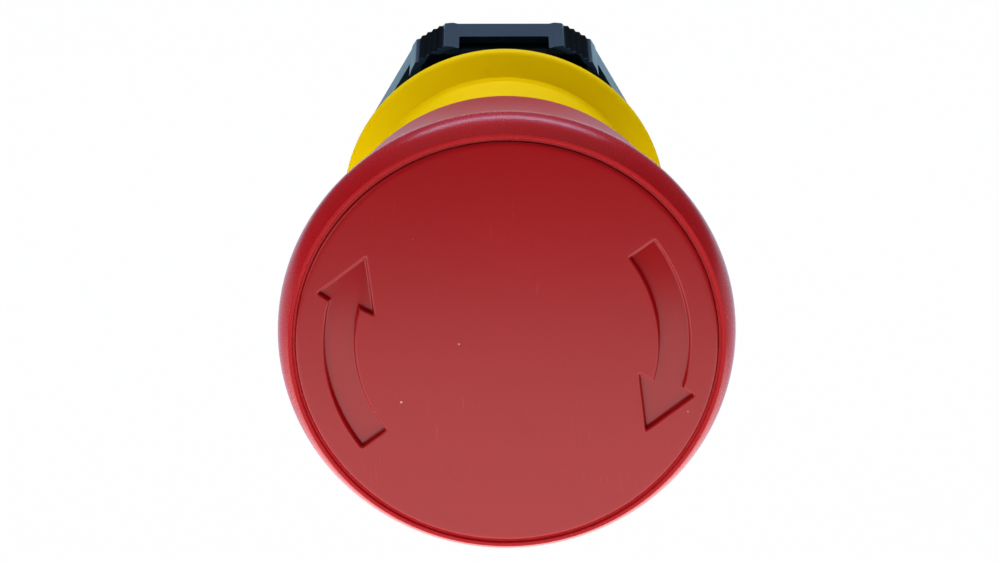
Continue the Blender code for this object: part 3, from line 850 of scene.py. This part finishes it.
class BuildMushroomHead(StopButtonOperator, bpy.types.Operator):
    """Build the red head: rounded rim, bell skirt, web, hub and stiffening ribs"""

    bl_idname = "stop_button.mushroom_head"
    bl_label = "Mushroom head"

    def build(self):
        rim, bell, top_z = rim_section()
        steps, groove = 22, 0.26
        heights = [top_z + (SKIRT_Z + 0.3 - top_z) * i / steps for i in range(1, steps + 1)]
        inside = [z for z in heights if z < WEB_BOTTOM - 1.4]
        step = DISC_R + 0.02
        points = [(step, LEDGE_Z, 0.05), (step, FACE_Z - groove, 0.02),
                  (POCKET_R - 0.08, FACE_Z - groove + 0.01, 0.06),
                  (POCKET_R, FACE_Z - 0.11, 0.08), *[p for p in rim if p[1] < FACE_Z - 0.07]]
        points += [(bell(z), z) for z in heights[:-1]]
        points += [(SKIRT_R, SKIRT_Z, 0.35), (SKIRT_R - SKIRT_WALL, SKIRT_Z, 0.4)]
        points += [(bell(z) - SKIRT_WALL, z) for z in reversed(inside[:-1])]
        points += [
            (bell(WEB_BOTTOM) - SKIRT_WALL, WEB_BOTTOM, 1.2),
            (HUB_R, WEB_BOTTOM, 0.6), (HUB_R, HUB_END, 0.2), (BORE_IN, HUB_END, 0.2),
            (BORE_IN, WEB_TOP, 0.15), (LEDGE_R, WEB_TOP, 0.4), (LEDGE_R, LEDGE_Z, 0.1),
        ]
        head = turned("mushroom_head", points)
        low, half = BUSH_TOP + PRESS + 0.9, 0.6
        rib = box("rib", SEAL_BORE_R - 0.5, bell(low) - SKIRT_WALL / 2.0, -half, half,
                  low, WEB_BOTTOM + 0.4)
        carve(head, around(rib, 6, "red_shell"), "UNION")
        place(head, "head", "red_shell", "mushroom_shell")


def grown(outline, by):
    """A clockwise outline moved outwards by a distance, its corners kept sharp."""
    corners = [Vector(point) for point in outline]
    sides = [(b - a).normalized() for a, b in zip(corners, corners[1:] + corners[:1])]
    normals = [Vector((-side.y, side.x)) for side in sides]
    made = []
    for i, here in enumerate(corners):
        both = normals[i - 1] + normals[i]
        share = max(0.25, 1.0 + normals[i - 1].dot(normals[i]))
        made.append(tuple(here + both * (by / share)))
    return made


def arrow_points(turn, by):
    """Outline of one sunken arrow that runs clockwise, moved outwards by a distance."""
    outer = DISC_R - 2.5
    inner = outer - 2.65
    tail, neck, tip = 37.0, -14.8, -33.2
    steps, corner = 36, 0.22
    sweep = [tail + (neck - tail) * i / steps for i in range(steps + 1)]
    points = [polar(outer, turn + a) for a in sweep]
    points.append(polar(outer + 1.12, turn + neck - 1.4))
    points.append(polar((outer + inner) / 2.0, turn + tip))
    points.append(polar(inner - 1.37, turn + neck + 1.4))
    points += [polar(inner, turn + a) for a in reversed(sweep)]
    points = grown(points, by)
    for i in (0, steps + 1, steps + 2, steps + 3, -1):
        points[i] = (*points[i], corner + by)
    return softened(points)


class BuildFaceDisc(StopButtonOperator, bpy.types.Operator):
    """Build the face disc with its two sunken arrows"""

    bl_idname = "stop_button.face_disc"
    bl_label = "Face disc"

    def build(self):
        edge = sizes().arrow_edge / MM
        floor = FACE_Z - sizes().arrow_depth / MM
        profile = softened([(0.0, DISC_Z), (DISC_R, DISC_Z, 0.1), (DISC_R, FACE_Z, 0.3),
                            (DISC_R - 0.6, FACE_Z)], facets=6)
        bm = bmesh.new()
        loops = [add_turned(bm, profile, closed=False)[-1]]
        stages = [(edge, FACE_Z), (edge * 0.55, FACE_Z - edge * 0.12),
                  (edge * 0.2, FACE_Z - edge * 0.4), (0.0, FACE_Z - edge),
                  (-0.02, floor + edge), (-edge * 0.4, floor + edge * 0.3), (-edge, floor)]
        for turn in (0.0, 180.0):
            rows = [[bm.verts.new(to_frame(x, y, z)) for x, y in arrow_points(turn, by)]
                    for by, z in stages]
            for one, two in zip(rows, rows[1:]):
                bridge(bm, one, two)
            bm.faces.new(rows[-1])
            loops.append(rows[0])
        pairs = [pair for loop in loops for pair in zip(loop, loop[1:] + loop[:1])]
        edges = [bm.edges.get(pair) or bm.edges.new(pair) for pair in pairs]
        filled = bmesh.ops.triangle_fill(bm, use_beauty=True, use_dissolve=False, edges=edges)
        inner = [e for e in filled["geom"] if isinstance(e, bmesh.types.BMEdge)]
        bmesh.ops.dissolve_limit(bm, angle_limit=0.01, verts=[], edges=inner)
        place(new_object("face_plate", bm), "head", "red_face", "face_disc")


class BuildCollar(StopButtonOperator, bpy.types.Operator):
    """Build the yellow collar: a flange on the panel and a boss under the head"""

    bl_idname = "stop_button.collar"
    bl_label = "Collar"

    def build(self):
        groove_in, groove_out, depth = GASKET_IN - GAP, GASKET_OUT + GAP, 1.0
        seat, half = COLLAR_BORE + 1.2, 0.8
        points = [
            (COLLAR_BORE, 0.0, 0.15), (groove_in, 0.0, 0.1), (groove_in, depth, 0.1),
            (groove_out, depth, 0.1), (groove_out, 0.0, 0.1), (COLLAR_R, 0.0, 0.2),
            (COLLAR_R, 1.1, 0.42), (BOSS_R, 2.3, 0.12), (BOSS_R, BOSS_TOP, 0.5),
            (COLLAR_BORE, BOSS_TOP, 0.2), (COLLAR_BORE, O_RING_Z + half),
            (seat, O_RING_Z + half, 0.1), (seat, O_RING_Z - half, 0.1),
            (COLLAR_BORE, O_RING_Z - half),
        ]
        ring = turned("yellow_ring", points, facets=6)
        place(ring, "operator_base", "yellow_collar", "collar")


class BuildBushing(StopButtonOperator, bpy.types.Operator):
    """Build the threaded bushing with its keyway, lug, hooks and pin holes"""

    bl_idname = "stop_button.bushing"
    bl_label = "Threaded bushing"

    def build(self):
        depth = sizes().thread_depth / MM
        root = THREAD_R - depth
        lip_r, lip_z = BOSS_R - 0.4, BOSS_TOP + GAP
        points = [
            (BORE_R, BUSH_FLOOR, 0.3), (BORE_R, SEAL_Z, 0.1), (SEAL_BORE_R, SEAL_Z, 0.2),
            (SEAL_BORE_R, BUSH_TOP, 0.4), (lip_r, BUSH_TOP, 0.4), (lip_r, lip_z, 0.15),
            (THREAD_R, lip_z, 0.1), (THREAD_R, THREAD_END, 0.2),
            (root, THREAD_END - depth, 0.1), (root, BUSH_END, 0.6), (BORE_IN, BUSH_END, 0.2),
            (BORE_IN, BUSH_FLOOR, 0.2),
        ]
        body = turned("threaded_bushing", points)
        ridge = thread("bushing_thread", root + depth / 2.0 - 0.06, depth + 0.1,
                       BUSH_END + 0.75, THREAD_END - 0.5, 0.82, "black_plastic")
        for piece in (body, ridge):
            for number, cutter in enumerate(self.cutters()):
                carve(piece, box(f"cut_{number}", *cutter))
        for side, _ in SIDES:
            carve(body, lay_across(rod("pin_hole", PIN_R + GAP, 6.0, 14.0, 32), side, 0.0))
        lug = box("panel_lug", -1.4, 1.4, THREAD_R - 1.0, THREAD_R + 1.0, -1.2, -GAP)
        carve(body, lug, "UNION")
        join(body, ridge)
        place(body, "operator_base", "black_plastic", "bushing", smooth=30.0)

    def cutters(self):
        """Keyway at the bottom and a hook notch on each side."""
        far, below = THREAD_R + 3.0, BUSH_END - 1.0
        notch = (-2.2, 2.2, below, BUSH_END + 2.6)
        return ((-1.4, 1.4, -far, -THREAD_R + 1.2, below, THREAD_END),
                (THREAD_R - 2.0, far, *notch), (-far, -THREAD_R + 2.0, *notch))


class BuildNut(StopButtonOperator, bpy.types.Operator):
    """Build the castellated nut with toothed corners, windows and its thread"""

    bl_idname = "stop_button.nut"
    bl_label = "Castellated nut"

    def outline(self):
        """A hexagon, flat on top, whose corners are cut to toothed arcs."""
        corner = math.degrees(math.atan2(HALF_FLAT, NUT_FLAT))
        teeth, dip = 5, 0.2
        edge, sink, slope = NUT_WINDOW + 0.15, -0.1, 0.4
        flat = [(0.0, -HALF_FLAT), (0.0, -edge - slope), (sink, -edge), (sink, edge),
                (0.0, edge + slope), (0.0, HALF_FLAT)]
        points = []
        for side in range(6):
            normal = 90.0 + 60.0 * side
            n, t = polar(1.0, normal), polar(1.0, normal + 90.0)
            for lift, along in flat:
                r = NUT_FLAT + lift
                points.append((n[0] * r + t[0] * along, n[1] * r + t[1] * along))
            reach = 60.0 - 2.0 * corner
            for tooth in range(1, 2 * teeth):
                r = NUT_TIP_R - (dip if tooth % 2 else 0.0)
                points.append(polar(r, normal + corner + reach * tooth / (2 * teeth)))
        return points

    def build(self):
        nut = slab("castle_nut", self.outline(), NUT_REAR, NUT_FRONT)
        past, rear = 1.0, 0.725
        low, high = NUT_REAR - past, NUT_FRONT + past
        carve(nut, turned("nut_turning", [
            (0.0, low), (NUT_TURNED_R - rear - past, low),
            (NUT_TURNED_R, NUT_REAR + rear), (NUT_TURNED_R, NUT_FRONT - NUT_CHAMFER),
            (NUT_TURNED_R - NUT_CHAMFER - past, high), (0.0, high)]), "INTERSECT")
        window = box("nut_window", -NUT_WINDOW, NUT_WINDOW, NUT_TUBE, NUT_FLAT + 3.0,
                     NUT_BAND, high)
        carve(nut, around(window, 6, "nut_plastic"))
        carve(nut, turned("nut_bore", [
            (0.0, low), (COLLAR_BORE + 1.1, low), (COLLAR_BORE, NUT_REAR + 0.45),
            (COLLAR_BORE, high), (0.0, high)]))
        modify(nut, "moulded edges", "BEVEL", width=sizes().nut_edge, segments=2,
               limit_method="ANGLE", angle_limit=math.radians(40.0), use_clamp_overlap=True)
        join(nut, thread("nut_thread", COLLAR_BORE - 0.06, -0.36, NUT_REAR + 0.9,
                         NUT_FRONT - 0.6, 0.8, "nut_plastic"))
        place(nut, "nut", "nut_plastic", "hex_nut", smooth=32.0)


class BuildPanelRings(StopButtonOperator, bpy.types.Operator):
    """Build the lock washer and the panel gasket"""

    bl_idname = "stop_button.panel_rings"
    bl_label = "Washer and gasket"

    def build(self):
        inner, outer = THREAD_R + GAP, THREAD_R + GAP + 1.9
        ridge_height, half = 0.16, 0.16
        top = WASHER_TOP - ridge_height
        ring = flat_ring("washer_ring", inner, outer, WASHER_Z, top, 0.12, 0.2, 0.12, 0.12)
        tab = box("washer_tab", -1.0, 1.0, -outer + 0.8, -THREAD_R + 0.8, WASHER_Z, top)
        carve(ring, tab, "UNION")
        ridge = box("washer_ridge", inner + 0.35, outer - 0.25, -half, half,
                    top - 0.1, WASHER_TOP)
        carve(ring, around(ridge, sizes().washer_ridges, "black_plastic"), "UNION")
        place(ring, "washer", "black_plastic", "lock_washer", smooth=30.0)
        _, low, high = span("panel_gasket")
        gasket = turned("gasket_ring", [
            (GASKET_IN, low, 0.35), (13.2, low + 0.12, 0.2), (GASKET_OUT, low, 0.35),
            (GASKET_OUT, high, 0.25), (GASKET_IN, high, 0.25)])
        place(gasket, "operator_base", "seal_rubber", "panel_gasket")


class BuildSprings(StopButtonOperator, bpy.types.Operator):
    """Build the return, release and latch pin springs"""

    bl_idname = "stop_button.springs"
    bl_label = "Springs"

    def build(self):
        smooth = 60.0
        low, high = BUSH_FLOOR + GAP, FLANGE_Z - GAP
        back = coil("return_coil", (STEM_R + BORE_R) / 2.0, 0.6, 8.0, low, high, 1.0)
        place(back, "operator_base", "spring_steel", "return_spring", smooth)
        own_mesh(back)
        twist = coil("release_coil", HUB_R + 0.95, 0.45, 4.5, HUB_END, WEB_BOTTOM - GAP, 0.5)
        place(twist, "press_stem", "spring_steel", "release_spring", smooth)
        for side, name in SIDES:
            pin = coil(f"pin_coil_{name}", PIN_R - 0.22, 0.14, 4.5, 0.0, PIN_COIL, 0.75)
            lay_across(pin, side, PIN_FOOT)
            place(pin, "operator_base", "spring_steel", f"pin_spring_{name}", smooth)
            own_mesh(pin)


class BuildStem(StopButtonOperator, bpy.types.Operator):
    """Build the stem, its cam, its spring seat and the contact pusher"""

    bl_idname = "stop_button.stem"
    bl_label = "Stem and pusher"

    def build(self):
        self.stem()
        end = CAM_Z + CAM_FOOT + 2.0 * PIN_R + PRESS + 0.2
        cam = turned("cam_sleeve", [
            (BORE_IN, CAM_Z, 0.1), (BORE_IN + 0.7, CAM_Z, 0.15), (CAM_TOP_R, end, 0.4),
            (CAM_TOP_R, end + 0.8, 0.2), (CAM_TOP_R - 0.5, CAM_TOP, 0.1),
            (BORE_IN, CAM_TOP, 0.1)])
        place(cam, "press_stem", "white_acetal", "trip_cam")
        _, low, high = span("spring_carrier")
        outer = SEAL_BORE_R - 0.7
        seat = flat_ring("spring_seat", BORE_IN, outer, low, high, 0.2, 0.25, 0.25, 0.2)
        place(seat, "press_stem", "white_acetal", "spring_carrier")
        self.pusher()

    def stem(self):
        """Head groove, shaft, flange over the return spring and the pusher's socket."""
        flange_r, flange_top = BORE_R - GAP, FLANGE_Z + FLANGE
        hole_r, neck_r = STEM_R - STEM_WALL, STEM_R - 0.8
        low = WEB_TOP + GAP + 0.6
        high = low + 0.4 + 0.5
        stem = turned("stem", [
            (0.0, STEM_TOP), (STEM_R, STEM_TOP, 0.3), (STEM_R, high, 0.08), (neck_r, high),
            (neck_r, low), (STEM_R, low, 0.08), (STEM_R, flange_top, 0.2),
            (flange_r, flange_top, 0.3), (flange_r, FLANGE_Z, 0.3), (STEM_R, FLANGE_Z, 0.2),
            (STEM_R, STEM_END, 0.3), (hole_r, STEM_END, 0.1), (hole_r, STEM_END + SOCKET),
            (0.0, STEM_END + SOCKET)])
        place(stem, "press_stem", "black_plastic", "plunger")

    def pusher(self):
        """A plate with a boss in the stem's socket and four bites out of its edge."""
        top, dish = STEM_END - GAP, PUSHER_LOW + 0.35
        boss_r, boss_top = STEM_R - STEM_WALL - GAP, top + SOCKET
        pusher = turned("pusher_plate", [
            (0.0, boss_top), (boss_r, boss_top, 0.5), (boss_r, top, 0.05),
            (PUSHER_R, top, 0.25), (PUSHER_R, PUSHER_LOW, 0.35), (3.2, PUSHER_LOW, 0.15),
            (2.9, dish, 0.1), (0.0, dish)])
        bite = rod("pusher_bite", 2.6, PUSHER_LOW - 1.0, top + 1.0, 64)
        x, y = polar(PUSHER_R + 0.4, 45.0)
        bite.data.transform(Matrix.Translation((x * MM, 0.0, y * MM)))
        carve(pusher, around(bite, 4, "white_acetal"))
        place(pusher, "press_stem", "white_acetal", "contact_pusher")


class BuildSmallRings(StopButtonOperator, bpy.types.Operator):
    """Build the seals, washers and latch pins inside the button"""

    bl_idname = "stop_button.small_rings"
    bl_label = "Seals, rings and pins"

    def build(self):
        _, low, top = span("stem_seal")
        floor = (low + top) / 2.0
        outer = SEAL_BORE_R - GAP
        seal = turned("lip_seal", [
            (BORE_IN + 0.4, low, 0.1), (outer, low, 0.3), (outer, top, 0.15),
            (outer - 0.9, top, 0.15), (outer - 1.5, floor, 0.2), (BORE_IN + 1.5, floor, 0.2),
            (BORE_IN + 0.8, top, 0.12), (BORE_IN, top, 0.1), (BORE_IN, top - 0.6, 0.1),
            (BORE_IN + 0.4, floor, 0.1)])
        place(seal, "operator_base", "seal_rubber", "stem_seal")
        _, low, top = span("seal_retainer")
        plate = flat_ring("retainer_ring", BORE_IN, outer, low, top, 0.12, 0.12, 0.2, 0.2)
        place(plate, "operator_base", "zinc_plate", "seal_retainer")
        section = arc(COLLAR_BORE + 0.6, O_RING_Z, O_RING_R, 0.0, math.tau, 20)[:-1]
        place(turned("rubber_ring", section), "operator_base", "seal_rubber", "collar_o_ring")
        _, low, top = span("hub_washer")
        washer = flat_ring("snap_washer", BORE_IN, HUB_R + 1.4, low, top, 0.1, 0.1, 0.16, 0.16)
        place(washer, "head", "zinc_plate", "hub_washer")
        length = PIN_FOOT - GAP - PIN_TIP
        for side, name in SIDES:
            pin = turned(f"pin_{name}", [
                (0.0, 0.0), (PIN_R * 0.62, 0.03, 0.3), (PIN_R, 0.5, 0.35),
                (PIN_R, length, 0.2), (0.0, length)], steps=48)
            lay_across(pin, side, PIN_TIP)
            place(pin, f"{name}_pin", "spring_steel", f"latch_pin_{name}")


class FinishSolids(StopButtonOperator, bpy.types.Operator):
    """Give the snap ring, which stays in view as its solid, its finish"""

    bl_idname = "stop_button.finish_solids"
    bl_label = "Finish the snap ring"

    def build(self):
        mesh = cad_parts["head_clip"].data
        mesh.materials.clear()
        mesh.materials.append(finish("zinc_plate"))


def camera_matrix():
    """Camera place and turn that match the photograph, in the frame."""
    tilt, roll = math.radians(TILT), math.radians(ROLL)
    seen = Vector(SEEN)
    n = Vector((math.sin(roll), -math.sin(tilt) * math.cos(roll),
                math.cos(tilt) * math.cos(roll)))
    right = (Vector((1.0, 0.0, 0.0)) - n * n.x).normalized()
    up = right.cross(n)
    origin = Vector((-right.dot(seen), -FITTED_FACE - n.dot(seen), -up.dot(seen))) * MM
    turn = Matrix((right, n, up)) @ Matrix.Diagonal((1.0, -1.0, -1.0))
    return Matrix.Translation(origin) @ turn.to_4x4()


class BuildStage(StopButtonOperator, bpy.types.Operator):
    """Set the floor, the soft studio light and the camera"""

    bl_idname = "stop_button.stage"
    bl_label = "Stage"

    def floor(self):
        """A table, white to the eye, with a cool glow in reflections behind the part and
        painted shade, near black, in front of it.
        """
        near, far, side = TABLE
        corners = [(-side, near), (side, near), (side, far), (-side, far)]
        mesh = bpy.data.meshes.new("floor")
        mesh.from_pydata([(x, y, TABLE_Z) for x, y in corners], [], [range(4)])
        paper = Finish("floor_paper", (0.9, 0.9, 0.9))
        tone = paper.blend(paper.noise(0.02, 2.0), (0.86, 0.86, 0.87), (0.9, 0.9, 0.9))
        # Painted shade: the table turns near black in front of the part.
        tone = paper.blend(paper.axis("Y").ease(*PAINTED_SHADE_EDGE), (0.02, 0.02, 0.02), tone)
        seen, gloss = paper.rays()
        mixed = paper.add("ShaderNodeBsdfDiffuse", None, {"Color": tone})
        for low, high, level, tint in TABLE_GLOW:
            glow = paper.add("ShaderNodeEmission", None, {
                "Color": (*tint, 1.0), "Strength": level})
            mixed = paper.add("ShaderNodeMixShader", None, {
                0: gloss * paper.axis("Y").ease(low, high), 1: mixed, 2: glow})
        white = paper.add("ShaderNodeEmission", None, {"Strength": 1.0})
        mesh.materials.append(paper.close(paper.add("ShaderNodeMixShader", None, {
            0: seen * TABLE_WHITE, 1: mixed, 2: white})))
        linked("floor", mesh)

    def world(self):
        """White to the eye, dim on the part and tinted in reflections."""
        sky = bpy.data.worlds.new("studio")
        sky.use_nodes = True
        bpy.context.scene.world = sky
        tree = Tree(sky.node_tree)
        tree.tree.nodes.clear()
        seen, gloss = tree.rays()
        strength = seen * (1.0 - WORLD) + gloss * (GLINT - WORLD) + WORLD
        tint = tree.add("ShaderNodeMix", {"data_type": "RGBA"}, {
            0: gloss, 6: (*WHITE, 1.0), 7: (*GLINT_TINT, 1.0)}, 2)
        tree.end("ShaderNodeOutputWorld", tree.add("ShaderNodeBackground", None, {
            "Color": tint, "Strength": strength}))

    def lamp(self, name, place, target, size, watts, tint, reflected):
        """A soft rectangular lamp."""
        light = bpy.data.lights.new(name, "AREA")
        light.shape = "RECTANGLE"
        light.size, light.size_y = size
        light.energy = watts
        light.color = tint
        made = linked(name, light)
        made.location = place
        aim = Vector(target) - Vector(place)
        made.rotation_euler = aim.to_track_quat("-Z", "Y").to_euler()
        made.visible_glossy = reflected

    def build(self):
        self.floor()
        self.world()
        for row in LAMPS:
            self.lamp(*row)
        data = bpy.data.cameras.new("camera")
        data.sensor_fit = "HORIZONTAL"
        data.sensor_width = SENSOR
        data.lens = FOCAL / PICTURE * SENSOR
        data.clip_start, data.clip_end = 0.01, 10.0
        camera = linked("camera", data)
        camera.matrix_world = camera_matrix()
        bpy.context.scene.camera = camera
        bpy.context.scene.view_settings.view_transform = "Standard"


class StopButtonPanel(bpy.types.Panel):
    """Lists the pieces and the values behind them."""

    bl_idname = "VIEW3D_PT_stop_button"
    bl_label = "Stop button"
    bl_space_type = "VIEW_3D"
    bl_region_type = "UI"
    bl_category = "Stop button"

    def draw(self, context):
        for made in OPERATORS:
            self.layout.operator(made.bl_idname)
        for group in (sizes(), colours()):
            shown = self.layout.box()
            for name in group.__annotations__:
                shown.prop(group, name)


OPERATORS = [
    BuildMushroomHead, BuildFaceDisc, BuildCollar, BuildBushing, BuildNut, BuildPanelRings,
    BuildSprings, BuildStem, BuildSmallRings, FinishSolids, BuildStage,
]
CLASSES = [StopButtonSizes, StopButtonColours, *OPERATORS, StopButtonPanel]


def register():
    for made in CLASSES:
        bpy.utils.register_class(made)
    bpy.types.Scene.stop_button_sizes = PointerProperty(type=StopButtonSizes)
    bpy.types.Scene.stop_button_colours = PointerProperty(type=StopButtonColours)


def unregister():
    del bpy.types.Scene.stop_button_colours
    del bpy.types.Scene.stop_button_sizes
    for made in reversed(CLASSES):
        bpy.utils.unregister_class(made)


def main():
    register()
    for made in OPERATORS:
        group, name = made.bl_idname.split(".")
        getattr(getattr(bpy.ops, group), name)()


if __name__ == "__main__":
    main()
